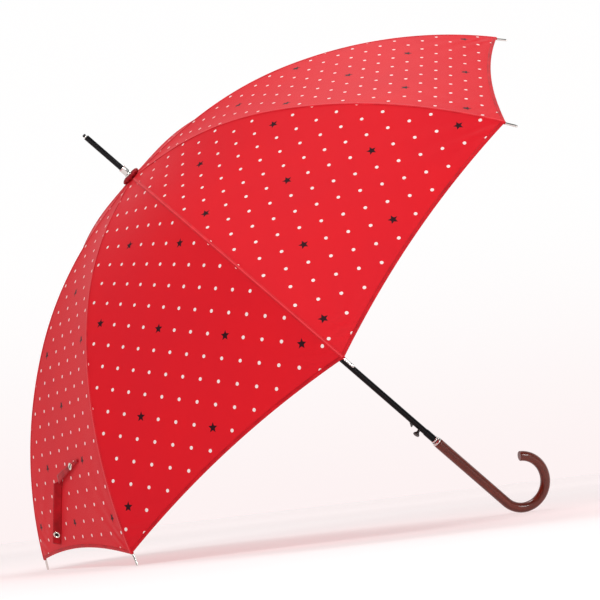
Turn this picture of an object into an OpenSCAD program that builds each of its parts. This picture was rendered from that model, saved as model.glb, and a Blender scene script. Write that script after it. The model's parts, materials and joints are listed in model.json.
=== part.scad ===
// Children's stick umbrella, open and lying on a floor on two rib tips and its crook handle.
// Every sub-part is drawn about the shaft (Z from the crown towards the handle) and then laid down.

/* [Canopy] */
// Arc length of a rib from the crown plate to the bend
inner_arc = 252; // [230:1:270]
// Arc length of a rib from the bend to the hem corner
outer_arc = 298; // [270:1:320]
// Slope of the canopy beside the crown, in degrees below square to the shaft
crown_slope = -2.5; // [-5:0.5:5]
// Slope of the canopy at the bend
bend_slope = 27.5; // [22:0.5:32]
// Slope of the canopy at the hem corner
hem_slope = 54; // [48:0.5:60]
// Thickness of the fabric
fabric_t = 0.4; // [0.3:0.1:0.6]
// How far the middle of a gore's hem is cut back
hem_cut = 13; // [0:1:25]

/* [Ribs] */
// Width of the rib channel
rib_w = 2.8; // [2.6:0.1:3.4]
// Height of the rib channel
rib_h = 2.6; // [2.4:0.1:3.2]
// Thickness of the rib's steel
rib_t = 0.6; // [0.4:0.1:0.6]
// Diameter of the metal rib tip
tip_d = 3; // [2.8:0.1:3.4]
// Length of the rib tip past the hem corner
tip_past = 15.5; // [12:0.5:20]
// Width of the stretcher channel
stretcher_w = 2.4; // [2.4:0.1:2.8]
// Height of the stretcher channel
stretcher_h = 2.4; // [2.2:0.1:2.8]

/* [Crown] */
// Radius of the wire ring that the ribs hang on
wire_ring_r = 8; // [7.5:0.5:9]
// Outer radius of the crown notch
notch_r = 10.5; // [10:0.5:12]
// Radius of the cloth rosette
rosette_r = 13; // [12:0.5:16]
// Length of the nickel collar above the rosette
collar_len = 13.4; // [10:0.2:18]
// Diameter of the top spike
spike_d = 7.5; // [7:0.1:8.4]
// Length of the whole spike above the rosette, with its collar and end tip
spike_len = 80.4; // [60:0.2:100]

/* [Shaft and handle] */
// Outer diameter of the shaft tube
shaft_d = 8.8; // [8.6:0.1:9]
// Bore of the shaft tube
shaft_bore_d = 7.4; // [7.2:0.1:7.6]
// Distance from the rosette's top to the handle ferrule
shaft_len = 572.5; // [560:0.5:590]
// Diameter of the wooden handle
handle_d = 14.4; // [13:0.1:16]
// Length of the straight grip, with its ferrule
grip_len = 146.7; // [120:0.1:180]
// Radius of the crook's centreline
crook_r = 37.4; // [34:0.1:45]
// Turn of the crook in degrees
crook_turn = 225.6; // [180:0.1:240]
// Direction of the crook about the shaft, from rib 3
crook_azimuth = -99.7; // [-112:0.1:-90]

/* [Runner and release] */
// Length of the runner below its wire ring
runner_len = 30; // [24:1:32]
// Radius of the runner's sleeve
runner_r = 6.5; // [6.3:0.1:7]
// Distance from the button's middle to the ferrule
button_above = 26; // [22:0.5:30]
// Distance from the hook's middle to the ferrule
hook_above = 41.5; // [38:0.5:46]

/* [Strap] */
// Width of the closing strap
strap_w = 11.5; // [10:0.5:14]
// Thickness of the folded strap
strap_t = 1.6; // [1:0.1:2]

/* [Hidden] */

// Fine enough that each curve agrees with the true one
$fn = 64;
ARC_FN = 720;
EPS = 0.01;
DEG = 180 / PI;
rib_count = 8;
rib_step = 360 / rib_count;
half_step = rib_step / 2;
// The button and the hook look along the floor side, midway between ribs 4 and 5
release_azimuth = 1.5 * rib_step;

function rib_azimuth(k) = (k - 3) * rib_step;
function dir(az) = [cos(az), sin(az), 0];

// The canopy's outer face in the plane of a rib: two arcs that meet at the bend, as [r, z]
skin_start = [9.5, 11.5];
inner_r = inner_arc * DEG / (bend_slope - crown_slope);
outer_r = outer_arc * DEG / (hem_slope - bend_slope);
inner_c = skin_start + inner_r * [-sin(crown_slope), cos(crown_slope)];
bend_skin = inner_c + inner_r * [sin(bend_slope), -cos(bend_slope)];
outer_c = bend_skin + outer_r * [-sin(bend_slope), cos(bend_slope)];
skin_len = inner_arc + outer_arc;

function slope_at(s) = s <= inner_arc
  ? crown_slope + s / inner_r * DEG
  : bend_slope + (s - inner_arc) / outer_r * DEG;
function skin_at(s, lift) = s <= inner_arc
  ? inner_c + (inner_r + lift) * [sin(slope_at(s)), -cos(slope_at(s))]
  : outer_c + (outer_r + lift) * [sin(slope_at(s)), -cos(slope_at(s))];

// The cloth hangs clear of the ribs' corners, where a gore slopes away from its rib
rib_gap = 0.8;
rib_depth = fabric_t + rib_gap + rib_h / 2;
bend = skin_at(inner_arc, -rib_depth);
corner = skin_at(skin_len, -rib_depth);
inward = [-sin(bend_slope), cos(bend_slope)];
along = [cos(bend_slope), sin(bend_slope)];

// The linkage: the rib's pivot at the crown, the stretcher's pivot on the rib, and its runner pivot
lug_drop = 5;
crown_pivot = [wire_ring_r, skin_start[1] + rib_depth];
knee = bend + lug_drop * inward;
link_len = norm(knee - crown_pivot);
runner_z = 2 * knee[1] - crown_pivot[1];
stretcher_angle = atan2(runner_z - knee[1], knee[0] - wire_ring_r);

// Small hardware
plate_t = 1;
eye_r = 1.2;
wire_r = 0.4;
eye_hole_r = 0.55;
knuckle_pin_r = 0.4;
knuckle_hole_r = 0.5;
knee_pin_r = 0.5;
knee_hole_r = 0.6;
slot_w = 1.6;
hub_r = 6.2;
running_gap = 0.05;

// Lying on the floor: the shaft's tilt at which two rib tips and the crook all touch
tip_r = tip_d / 2;
tip_end = corner + (tip_past - tip_r) * [cos(hem_slope), sin(hem_slope)];
handle_r = handle_d / 2;
crook_z = shaft_len + grip_len;
crook_down = cos(crook_azimuth - release_azimuth);
function crook_reach(tilt) = crook_r * norm([crook_down * cos(tilt), sin(tilt)]) + handle_r;
function solve_tilt(tilt, n) = n == 0 ? tilt
  : solve_tilt(tilt_for(crook_reach(tilt) - tip_r), n - 1);
function tilt_for(reach) =
  let (a = tip_end[0] * cos(half_step) - crook_r * crook_down, b = crook_z - tip_end[1])
  acos(reach / norm([a, b])) - atan2(b, a);
tilt = solve_tilt(43, 8);
floor_drop = tip_end[0] * cos(half_step) * cos(tilt) + tip_end[1] * sin(tilt) + tip_r;

// The middle of the laid object along the floor, from the crook's far side and the canopy's low side
crook_far = (crook_z * cos(tilt) - crook_r * crook_down * sin(tilt))
  + crook_r * norm([crook_down * sin(tilt), cos(tilt)]) + handle_r;
low_slope = atan(cos(half_step) * tan(tilt));
low_skin = outer_c + outer_r * [sin(low_slope), -cos(low_slope)];
canopy_far = low_skin[1] * cos(tilt) - low_skin[0] * cos(half_step) * sin(tilt);
middle_x = (crook_far + canopy_far) / 2;

// Lays the umbrella down, with the handle towards +X and ribs 4 and 5 on the floor
module lay() {
  translate([-middle_x, 0, floor_drop])
    rotate([0, 90 + tilt, 0])
      rotate([0, 0, -release_azimuth])
        children();
}

// Turns a drawing made in the XZ plane to the azimuth of a rib or of the release
module at_azimuth(az) {
  rotate([0, 0, az])
    children();
}

// A ring or bar swept along an arc in the XZ plane, from a 2D section whose X points outwards
module arc_sweep(centre, radius, from, to) {
  translate([centre[0], 0, centre[1]])
    rotate([90, 0, 0])
      rotate([0, 0, from - 90])
        rotate_extrude(angle = to - from, $fn = ARC_FN)
          translate([radius, 0])
            children();
}

module channel_section(w, h, t) {
  difference() {
    translate([-h / 2, -w / 2])
      square([h, w]);
    translate([-h / 2 - 1, -w / 2 + t])
      square([h + 1 - t, w - 2 * t]);
  }
}

// A short pin or hole square to a rib's plane, at [r, z]
module cross_pin(at, r, len) {
  translate([at[0], 0, at[1]])
    rotate([90, 0, 0])
      cylinder(r = r, h = len, center = true);
}

// A flat plate in a rib's plane, from a 2D outline in [r, z]
module rib_plate(t) {
  rotate([90, 0, 0])
    translate([0, 0, -t / 2])
      linear_extrude(t)
        children();
}

module bar2d(a, b, r) {
  d = b - a;
  translate(a)
    rotate(atan2(d[1], d[0]))
      translate([0, -r])
        square([norm(d), 2 * r]);
}

// ---- Ribs, stretchers and tips ----

// The rib's channels: how far from the crown the first begins, how far short of the bend it stops, how
// far behind the bend the second begins, and how far short of the hem it stops
root_len = 5.5;
bend_short = 2.4;
bend_back = 1;
tip_socket = 4;
channel_from = crown_slope + root_len / inner_r * DEG;
inner_stop = bend_slope - bend_short / inner_r * DEG;
outer_from = bend_slope - bend_back / outer_r * DEG;
outer_stop = hem_slope - (tip_socket + running_gap) / outer_r * DEG;
channel_gap = rib_w - 2 * rib_t;
root_bar_r = 0.9;

// The tongue that joins the two channels, and the room that the second one's web leaves it to turn in
tongue_len = 3;
tongue_r = 0.55;
plate_back = 9;
turning_r = 1.8;

module rib_inner(k) {
  root_end = inner_c + (inner_r - rib_depth) * [sin(channel_from), -cos(channel_from)];
  at_azimuth(rib_azimuth(k)) {
    color("#3b3d40")
      difference() {
        union() {
          arc_sweep(inner_c, inner_r - rib_depth, channel_from, inner_stop)
            channel_section(rib_w, rib_h, rib_t);
          rib_plate(plate_t)
            union() {
              translate(crown_pivot)
                circle(r = eye_r);
              bar2d(crown_pivot, root_end + [1, 0], root_bar_r);
            }
          rib_plate(channel_gap)
            bar2d(root_end - [0.4, 0], root_end + [3, 0], root_bar_r);
          rib_plate(plate_t)
            union() {
              bar2d(bend - plate_back * along, bend + tongue_len * along, tongue_r);
              bar2d(bend, knee, eye_r);
              translate(knee)
                circle(r = eye_r);
            }
          rib_plate(channel_gap)
            bar2d(bend - plate_back * along, bend - tongue_len * along, tongue_r);
          cross_pin(bend, knuckle_pin_r, rib_w);
          cross_pin(knee, knee_pin_r, stretcher_w);
        }
        cross_pin(crown_pivot, eye_hole_r, 4);
      }
  }
}

module rib_outer(k) {
  at_azimuth(rib_azimuth(k))
    color("#3b3d40")
      difference() {
        arc_sweep(outer_c, outer_r - rib_depth, outer_from, outer_stop)
          channel_section(rib_w, rib_h, rib_t);
        cross_pin(bend, knuckle_hole_r, 4);
        rib_plate(channel_gap)
          translate(bend)
            circle(r = turning_r);
      }
}

module rib_tip(k) {
  straight = tip_socket + tip_past - tip_r;
  at_azimuth(rib_azimuth(k))
    translate([corner[0], 0, corner[1]])
      rotate([0, 90 - hem_slope, 0])
        color("#c9ccd0")
          union() {
            translate([0, 0, -tip_socket])
              cylinder(d = tip_d, h = straight);
            translate([0, 0, tip_past - tip_r])
              sphere(d = tip_d);
          }
}

module stretcher(k) {
  bare = 4;
  fork_len = 3.2;
  web = link_len - bare - fork_len;
  at_azimuth(rib_azimuth(k))
    color("#3b3d40")
      translate([knee[0], 0, knee[1]])
        rotate([0, 180 + stretcher_angle, 0])
          rotate([0, 90, 0])
            difference() {
              union() {
                translate([0, 0, fork_len])
                  linear_extrude(web)
                    channel_section(stretcher_h, stretcher_w, 0.5);
                for (side = [-1, 1])
                  translate([0, side * (stretcher_w / 2 - 0.25), 0])
                    rotate([90, 0, 0])
                      linear_extrude(0.5, center = true)
                        union() {
                          circle(r = eye_r);
                          translate([-eye_r, 0])
                            square([2 * eye_r, fork_len + 0.2]);
                        }
                rotate([90, 0, 0])
                  linear_extrude(plate_t, center = true)
                    union() {
                      translate([0, link_len])
                        circle(r = eye_r);
                      translate([-root_bar_r, link_len - bare])
                        square([2 * root_bar_r, bare]);
                    }
                translate([0, 0, link_len - bare - 1.5])
                  rotate([90, 0, 0])
                    linear_extrude(stretcher_w - 1, center = true)
                      translate([-root_bar_r, -1])
                        square([2 * root_bar_r, 3]);
              }
              rotate([90, 0, 0])
                cylinder(r = knee_hole_r, h = 4, center = true);
              translate([0, 0, link_len])
                rotate([90, 0, 0])
                  cylinder(r = eye_hole_r, h = 4, center = true);
            }
}

// ---- Canopy ----

PANEL_ROWS = 16;
PANEL_COLS = 4;
SEAM_GAP = 0.2;

// A point of gore k: across is -1 on rib k and 1 on the next rib, down is 0 at the crown and 1 at the hem
function gore_point(k, down, across, lift) =
  let (
    s = down * (skin_len - hem_cut * (1 - across * across)),
    p = skin_at(s, lift),
    half = p[0] * sin(half_step) - SEAM_GAP,
    az = rib_azimuth(k) + half_step
  )
  p[0] * cos(half_step) * dir(az) + across * half * dir(az + 90) + [0, 0, p[1]];

module canopy_panel(k) {
  grid = [for (lift = [0, -fabric_t]) for (i = [0:PANEL_ROWS]) for (j = [0:PANEL_COLS])
    gore_point(k, i / PANEL_ROWS, 2 * j / PANEL_COLS - 1, lift)];
  row = PANEL_COLS + 1;
  back = row * (PANEL_ROWS + 1);
  last = PANEL_ROWS * row;
  outer = [for (i = [0:PANEL_ROWS - 1]) for (j = [0:PANEL_COLS - 1])
    let (a = i * row + j)
    each [[a, a + row, a + 1], [a + 1, a + row, a + row + 1]]];
  inner = [for (f = outer) [f[0] + back, f[2] + back, f[1] + back]];
  ends = [for (j = [0:PANEL_COLS - 1]) each [
    [j, j + 1, j + back], [j + 1, j + 1 + back, j + back],
    [last + j, last + j + back, last + j + 1], [last + j + 1, last + j + back, last + j + 1 + back]]];
  sides = [for (i = [0:PANEL_ROWS - 1])
    let (a = i * row, b = i * row + PANEL_COLS)
    each [
      [a, a + back, a + row], [a + row, a + back, a + row + back],
      [b, b + row, b + back], [b + row, b + row + back, b + back]]];
  color("#d81e2c")
    polyhedron(grid, concat(outer, inner, ends, sides));
}

// ---- Crown ----

module crown_notch() {
  top = crown_pivot[1] - 1.4;
  neck_r = 5.8;
  neck_bottom = 26;
  color("#1b1b1d")
    difference() {
      union() {
        translate([0, 0, top])
          cylinder(r = notch_r, h = 5.4);
        translate([0, 0, top])
          cylinder(r = neck_r, h = neck_bottom - top);
      }
      translate([0, 0, top - 1])
        cylinder(d = shaft_d + 0.04, h = 20);
      for (k = [1:rib_count])
        at_azimuth(rib_azimuth(k))
          translate([hub_r, -slot_w / 2, top - 1])
            cube([notch_r, slot_w, 8]);
      translate([0, 0, crown_pivot[1]])
        rotate_extrude()
          translate([wire_ring_r, 0])
            square(2 * wire_r + 0.3, center = true);
      translate([0, 0, crown_pin_z])
        rotate([90, 0, 0])
          cylinder(r = crown_pin_r + 0.02, h = 30, center = true);
    }
}

module wire_ring(z) {
  color("#a8abaf")
    translate([0, 0, z])
      rotate_extrude()
        translate([wire_ring_r, 0])
          circle(r = wire_r, $fn = 24);
}

crown_pin_z = 21.5;
crown_pin_r = 0.8;
module crown_pin() {
  color("#a8abaf")
    translate([0, 0, crown_pin_z])
      rotate([90, 0, 0])
        cylinder(r = crown_pin_r, h = 11, center = true);
}

// The plastic cup that presses the cloth on to the notch
module crown_cap() {
  color("#1b1b1d")
    rotate_extrude()
      polygon([[shaft_d / 2 + 0.05, 3.4], [9, 8.2], [9, 9.4], [shaft_d / 2 + 0.05, 9.4]]);
}

module crown_rosette() {
  inner = shaft_d / 2 + 0.1;
  color("#8c1220")
    rotate_extrude()
      polygon([[inner, 0.1], [rosette_r, 9.6], [rosette_r, 10.3], [inner, 1.2]]);
}

module ferrule_collar() {
  color("#d3d5d8")
    translate([0, 0, -collar_len])
      difference() {
        union() {
          cylinder(d = 9.8, h = collar_len);
          translate([0, 0, collar_len - 2])
            cylinder(d = 11.6, h = 2);
        }
        translate([0, 0, 3])
          cylinder(d = shaft_d + 0.04, h = collar_len);
      }
}

spike_tip_len = 5;
module top_spike() {
  color("#151516")
    translate([0, 0, -spike_len + spike_tip_len])
      cylinder(d = spike_d, h = spike_len - spike_tip_len - collar_len);
}

module spike_tip() {
  color("#d3d5d8")
    translate([0, 0, -spike_len])
      union() {
        translate([0, 0, 1])
          cylinder(d = 5, h = spike_tip_len - 1);
        cylinder(d1 = 3.6, d2 = 5, h = 1);
      }
}

// ---- Shaft, spring and handle ----

tube_top = -10.2;
tube_bottom = 640;
pin_slot_w = 2;
catch_slot_w = 2.4;
button_z = shaft_len - button_above;
hook_z = shaft_len - hook_above;
stem_r = 2.1;
runner_pin_r = 0.7;
runner_travel = 2 * link_len;

module shaft_tube() {
  slot_from = runner_z - 14;
  slot_to = crown_pivot[1] + runner_travel + 4;
  color("#161617")
    difference() {
      translate([0, 0, tube_top])
        cylinder(d = shaft_d, h = tube_bottom - tube_top);
      translate([0, 0, tube_top - 1])
        cylinder(d = shaft_bore_d, h = tube_bottom - tube_top + 2);
      translate([0, 0, crown_pin_z])
        rotate([90, 0, 0])
          cylinder(r = crown_pin_r + 0.02, h = 12, center = true);
      at_azimuth(release_azimuth) {
        translate([0, 0, button_z])
          rotate([0, 90, 0])
            cylinder(r = stem_r + 0.2, h = 8);
        translate([0, -catch_slot_w / 2, hook_z - 5])
          cube([8, catch_slot_w, 10]);
        translate([-pin_slot_w / 2, 0, slot_from])
          cube([pin_slot_w, 8, slot_to - slot_from]);
      }
    }
}

// An open coil: a small round wire swept round a helix
spring_r = 2.7;
spring_wire_r = 0.4;
spring_turns = 30;
SPRING_STEPS = 12;
SPRING_SIDES = 6;

module opening_spring() {
  from = crown_pin_z + crown_pin_r + 0.6;
  to = runner_z - 8;
  steps = spring_turns * SPRING_STEPS;
  points = [for (i = [0:steps]) for (j = [0:SPRING_SIDES - 1])
    let (
      turn = i * 360 / SPRING_STEPS,
      side = j * 360 / SPRING_SIDES,
      r = spring_r + spring_wire_r * cos(side)
    )
    [r * cos(turn), r * sin(turn), from + (to - from) * i / steps + spring_wire_r * sin(side)]];
  wall = [for (i = [0:steps - 1]) for (j = [0:SPRING_SIDES - 1])
    let (
      a = i * SPRING_SIDES + j,
      b = i * SPRING_SIDES + (j + 1) % SPRING_SIDES
    )
    each [[a, a + SPRING_SIDES, b], [b, a + SPRING_SIDES, b + SPRING_SIDES]]];
  start = [[for (j = [0:SPRING_SIDES - 1]) j]];
  end = [[for (j = [SPRING_SIDES - 1:-1:0]) steps * SPRING_SIDES + j]];
  color("#9a9da1")
    polyhedron(points, concat(wall, start, end));
}

module lower_sleeve() {
  color("#101011")
    translate([0, 0, shaft_len - 16])
      difference() {
        cylinder(d = 10, h = 16);
        translate([0, 0, -1])
          cylinder(d = shaft_d + 0.04, h = 18);
      }
}

ferrule_len = 7;
module handle_ferrule() {
  color("#d3d5d8")
    translate([0, 0, shaft_len])
      difference() {
        rotate_extrude()
          polygon([[0, 0], [5.6, 0], [6.2, 0.6], [6.4, 4], [7.1, 6], [7.3, 6.4], [7.3, ferrule_len],
            [0, ferrule_len]]);
        translate([0, 0, -1])
          cylinder(d = shaft_d + 0.04, h = ferrule_len + 2);
      }
}

module handle_crook() {
  wood_top = shaft_len + ferrule_len;
  color("#5a2418")
    at_azimuth(crook_azimuth)
      difference() {
        union() {
          translate([0, 0, wood_top])
            cylinder(d = handle_d, h = crook_z - wood_top + EPS);
          translate([crook_r, 0, crook_z])
            rotate([90, 0, 0])
              rotate([0, 0, 180 - crook_turn])
                rotate_extrude(angle = crook_turn, $fn = 180)
                  translate([crook_r, 0])
                    circle(d = handle_d);
        }
        translate([0, 0, wood_top - 1])
          cylinder(d = shaft_d + 0.04, h = tube_bottom - wood_top + 1.5);
      }
}

// ---- Runner and release ----

module runner() {
  ring_top = -2.2;
  groove_w = 3;
  groove_r = 9;
  color("#1b1b1d")
    translate([0, 0, runner_z])
      difference() {
        union() {
          translate([0, 0, ring_top])
            cylinder(r = 10.2, h = 5.4);
          translate([0, 0, ring_top])
            cylinder(r = runner_r, h = runner_len - ring_top);
          at_azimuth(release_azimuth)
            rotate([-90, 0, 0])
              translate([0, 0, 2])
                cylinder(r = runner_pin_r, h = 4);
        }
        difference() {
          translate([0, 0, ring_top - 1])
            cylinder(r = shaft_d / 2 + running_gap, h = runner_len + 6);
          at_azimuth(release_azimuth)
            rotate([-90, 0, 0])
              translate([0, 0, 2])
                cylinder(r = runner_pin_r, h = 4);
        }
        for (k = [1:rib_count])
          at_azimuth(rib_azimuth(k))
            translate([hub_r, -slot_w / 2, ring_top - 1])
              cube([8, slot_w, 8]);
        rotate_extrude()
          translate([wire_ring_r, 0])
            square(2 * wire_r + 0.3, center = true);
        at_azimuth(release_azimuth)
          translate([0, -groove_w / 2, ring_top - 1])
            cube([groove_r, groove_w, runner_len + 6]);
      }
}

module release_button() {
  head_r = 4.5;
  stem_top = 10.4;
  color("#1a1310")
    at_azimuth(release_azimuth)
      translate([0, 0, button_z])
        rotate([0, 90, 0])
          union() {
            translate([0, 0, 1.6])
              cylinder(r = stem_r, h = stem_top - 1.6 + EPS);
            translate([0, 0, stem_top])
              rotate_extrude()
                polygon([[0, 0], [head_r - 0.6, 0], [head_r, 0.6], [head_r, 1.2], [head_r - 0.8, 2.2],
                  [head_r - 2, 2.8], [0, 3]]);
          }
}

module lower_hook() {
  hook_out = shaft_d / 2 + 4;
  color("#1a1310")
    at_azimuth(release_azimuth)
      rotate([90, 0, 0])
        linear_extrude(2, center = true)
          polygon([[1, hook_z - 3.5], [shaft_d / 2 - 0.4, hook_z - 3.5], [hook_out, hook_z + 2.6],
            [hook_out, hook_z + 3.5], [1, hook_z + 3.5]]);
}

// The flat spring inside the tube that the button and the hook press against
module release_leaf_spring() {
  leaf_w = 3;
  leaf_t = 0.4;
  color("#9a9da1")
    at_azimuth(release_azimuth)
      translate([-2.9, -leaf_w / 2, hook_z - 10])
        cube([leaf_t, leaf_w, 34]);
}

// ---- Closing strap ----

// A flat band from p to q whose face looks along up
module band(p, q, up, w, t) {
  x = (q - p) / norm(q - p);
  y0 = cross(up, x);
  y = y0 / norm(y0);
  z = cross(x, y);
  multmatrix([[x[0], y[0], z[0], p[0]], [x[1], y[1], z[1], p[1]], [x[2], y[2], z[2], p[2]]])
    translate([0, -w / 2, 0])
      cube([norm(q - p), w, t]);
}

STRAP_GORE = 4;
strap_up = let (s = slope_at(470), az = rib_azimuth(STRAP_GORE) + half_step)
  sin(s) * dir(az) - [0, 0, cos(s)];
function on_gore(s, across, lift) = gore_point(STRAP_GORE, s / (skin_len - hem_cut * (1 - across * across)),
  across, lift);
strap_sewn = on_gore(424, -0.4, 1.2);
strap_fold = on_gore(443, 0.14, 3.2);
strap_hang = on_gore(446, 0.14, 4.9);
strap_end = on_gore(528, 0.46, 5);

module strap() {
  color("#b81424")
    union() {
      band(strap_sewn, strap_fold, strap_up, strap_w, strap_t);
      band(strap_hang, strap_end, strap_up, strap_w, strap_t);
    }
}

module snap(p, q, share) {
  x = (q - p) / norm(q - p);
  y0 = cross(strap_up, x);
  up = cross(x, y0 / norm(y0));
  at = p + share * (q - p) + (strap_t + 0.02) * up;
  axis = cross([0, 0, 1], up);
  translate(at)
    rotate(a = acos(up[2]), v = axis)
      union() {
        cylinder(d = 9, h = 1);
        cylinder(d = 4, h = 1.9);
      }
}

module strap_snaps() {
  color("#c9ccd0") {
    snap(strap_sewn, strap_fold, 0.3);
    snap(strap_hang, strap_end, 0.86);
  }
}

lay() shaft_tube();
lay() handle_crook();
lay() handle_ferrule();
lay() lower_sleeve();
lay() crown_notch();
lay() wire_ring(crown_pivot[1]);  // crown_wire
lay() crown_pin();
lay() crown_cap();
lay() crown_rosette();
lay() ferrule_collar();
lay() top_spike();
lay() spike_tip();
lay() opening_spring();
lay() release_leaf_spring();
lay() release_button();
lay() lower_hook();
lay() runner();
lay() wire_ring(runner_z);  // runner_wire
for (k = [1:rib_count]) {
  lay() rib_inner(k);
  lay() rib_outer(k);
  lay() rib_tip(k);
  lay() stretcher(k);
  lay() canopy_panel(k);
}
lay() strap();
lay() strap_snaps();
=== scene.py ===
"""Looks of a child's stick umbrella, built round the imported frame.

Shapes are worked out about the shaft, in the umbrella's own axes: Z runs along the shaft from the
crown to the handle, X points along rib 3, and rib k stands at (k - 3) eighths of a turn. place() takes
them to the shared frame. Lengths are in metres.
"""

import json
import math

import bpy
import numpy as np
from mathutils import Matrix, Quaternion, Vector


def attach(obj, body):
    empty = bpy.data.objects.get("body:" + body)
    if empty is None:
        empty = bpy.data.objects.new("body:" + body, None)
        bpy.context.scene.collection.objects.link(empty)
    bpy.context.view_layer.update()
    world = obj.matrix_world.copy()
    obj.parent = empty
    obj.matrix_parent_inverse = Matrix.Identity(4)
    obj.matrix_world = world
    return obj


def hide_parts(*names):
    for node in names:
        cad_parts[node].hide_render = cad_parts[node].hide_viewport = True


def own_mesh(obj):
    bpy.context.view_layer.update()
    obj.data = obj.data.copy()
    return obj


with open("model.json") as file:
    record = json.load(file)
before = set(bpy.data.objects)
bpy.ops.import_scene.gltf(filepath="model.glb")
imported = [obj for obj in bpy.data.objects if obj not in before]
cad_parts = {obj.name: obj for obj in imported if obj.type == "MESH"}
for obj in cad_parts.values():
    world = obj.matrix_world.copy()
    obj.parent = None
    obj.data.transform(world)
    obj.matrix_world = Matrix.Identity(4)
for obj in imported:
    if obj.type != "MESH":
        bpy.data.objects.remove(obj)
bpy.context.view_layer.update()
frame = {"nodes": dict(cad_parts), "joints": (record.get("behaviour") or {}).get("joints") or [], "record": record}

# ---- The umbrella's axes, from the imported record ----

RIBS = 8
STEP = math.tau / RIBS
HALF = STEP / 2
WIRE_R = 0.008
PIVOT_Z = 0.014


def rib_azimuth(k):
    return (k - 3) * STEP


def after(k):
    """The rib after rib k, round the shaft."""
    return k % RIBS + 1


def umbrella_axes():
    """The crown's place in the shared frame, and the directions of rib 3, rib 5 and the shaft."""
    record = frame["record"]
    folds = ["canopy_fold"] + [f"rib_{k}_fold" for k in range(2, RIBS + 1)]
    at = {j["name"]: np.array(j["pos_m"]) for j in frame["joints"] if "pos_m" in j}
    middle = np.mean([at[name] for name in folds], axis=0)
    grip = next(m for m in record["mounts"] if m["name"] == "handle_grip")
    along = np.array(grip["axis"]) / np.linalg.norm(grip["axis"])
    across = (at["rib_3_fold"] - middle) / WIRE_R
    across = across - (across @ along) * along
    across = across / np.linalg.norm(across)
    return middle - PIVOT_Z * along, np.stack([across, np.cross(along, across), along])


CROWN, AXES = umbrella_axes()


def place(points):
    """Points in the umbrella's axes, in the shared frame."""
    return np.asarray(points, float) @ AXES + CROWN


def turn(vectors):
    """Directions in the umbrella's axes, in the shared frame."""
    return np.asarray(vectors, float) @ AXES


def spoke(azimuth):
    """The direction square to the shaft at an azimuth."""
    return np.stack([np.cos(azimuth), np.sin(azimuth), 0 * np.asarray(azimuth, float)], axis=-1)


def unit(v):
    v = np.asarray(v, float)
    return v / np.linalg.norm(v, axis=-1, keepdims=True)


# ---- The canopy's surface, as the CAD model has it ----

INNER_ARC = 0.252
OUTER_ARC = 0.298
RIB_ARC = INNER_ARC + OUTER_ARC
CROWN_SLOPE = math.radians(-2.5)
BEND_SLOPE = math.radians(27.5)
HEM_SLOPE = math.radians(54)
SKIN_START = np.array([0.0095, 0.0115])
HEM_CUT = 0.013
FABRIC_T = 0.0004
INNER_R = INNER_ARC / (BEND_SLOPE - CROWN_SLOPE)
OUTER_R = OUTER_ARC / (HEM_SLOPE - BEND_SLOPE)


def slope_at(s):
    return np.where(s <= INNER_ARC, CROWN_SLOPE + s / INNER_R, BEND_SLOPE + (s - INNER_ARC) / OUTER_R)


def outwards(slope):
    """The outer face's normal in a rib's plane, as (r, z)."""
    return np.stack([np.sin(slope), -np.cos(slope)], axis=-1)


INNER_C = SKIN_START - INNER_R * outwards(CROWN_SLOPE)
BEND = INNER_C + INNER_R * outwards(BEND_SLOPE)
OUTER_C = BEND - OUTER_R * outwards(BEND_SLOPE)


def skin(s, lift=0.0):
    """A point of the canopy along a rib, as (r, z): s is the length from the crown."""
    s = np.asarray(s, float)
    out = outwards(slope_at(s))
    lift = np.broadcast_to(np.asarray(lift, float), s.shape)[..., None]
    inner = INNER_C + (INNER_R + lift) * out
    outer = OUTER_C + (OUTER_R + lift) * out
    return np.where(s[..., None] <= INNER_ARC, inner, outer)


def gore_length(across):
    """The length from the crown to the hem: a gore's hem is cut back in its middle."""
    return RIB_ARC - HEM_CUT * (1 - across**2)


SAG = 0.003
SAG_FULLNESS = 0.8
CROWN_PULL = 0.0055
CROWN_REACH = 0.028
CREASE = 0.0007
CREASE_REACH = 0.07
CREASES = 7
CREASE_FROM_RIB = 0.02
CREASE_FROM_HEM = 0.012
PUCKER = 0.00018
PUCKER_STEP = 0.0115
PUCKER_DRIFT = 2.1
PUCKER_DRIFT_STEP = 0.043
PUCKER_REACH = 0.014
PUCKER_FROM_RIB = 0.003


def creases(from_rib, from_hem):
    """Creases that fan out of the hem's corners, where the cloth is pulled tight."""
    reach = np.hypot(from_rib, from_hem)
    fan = np.sin(2 * CREASES * np.arctan2(from_rib, from_hem + 1e-6))
    pull = np.exp(-reach / CREASE_REACH) * np.clip(from_rib / CREASE_FROM_RIB, 0, 1)
    pull = pull * np.clip(from_hem / CREASE_FROM_HEM, 0, 1)
    return CREASE * fan * pull


def puckers(s, from_rib):
    """Small uneven waves in the cloth beside a seam."""
    wave = np.sin(s / PUCKER_STEP + PUCKER_DRIFT * np.sin(s / PUCKER_DRIFT_STEP))
    wave = wave * np.exp(-from_rib / PUCKER_REACH) * PUCKER
    return wave * np.clip(from_rib / PUCKER_FROM_RIB, 0, 1)


def slack(s, across):
    """How far the cloth stands off the CAD surface: it is pulled up at the crown, sags between the ribs,
    is creased at the hem's corners and puckers along the seams."""
    sag = -SAG * (1 - across**2) * np.sin(math.pi * np.clip(s / RIB_ARC, 0, 1)) ** SAG_FULLNESS
    sag = sag + CROWN_PULL * np.exp(-s / CROWN_REACH)
    width = skin(s)[..., 0] * math.sin(HALF)
    from_rib = (1 - np.abs(across)) * width
    from_hem = gore_length(across) - s
    return sag + creases(from_rib, from_hem) + puckers(s, from_rib)


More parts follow.
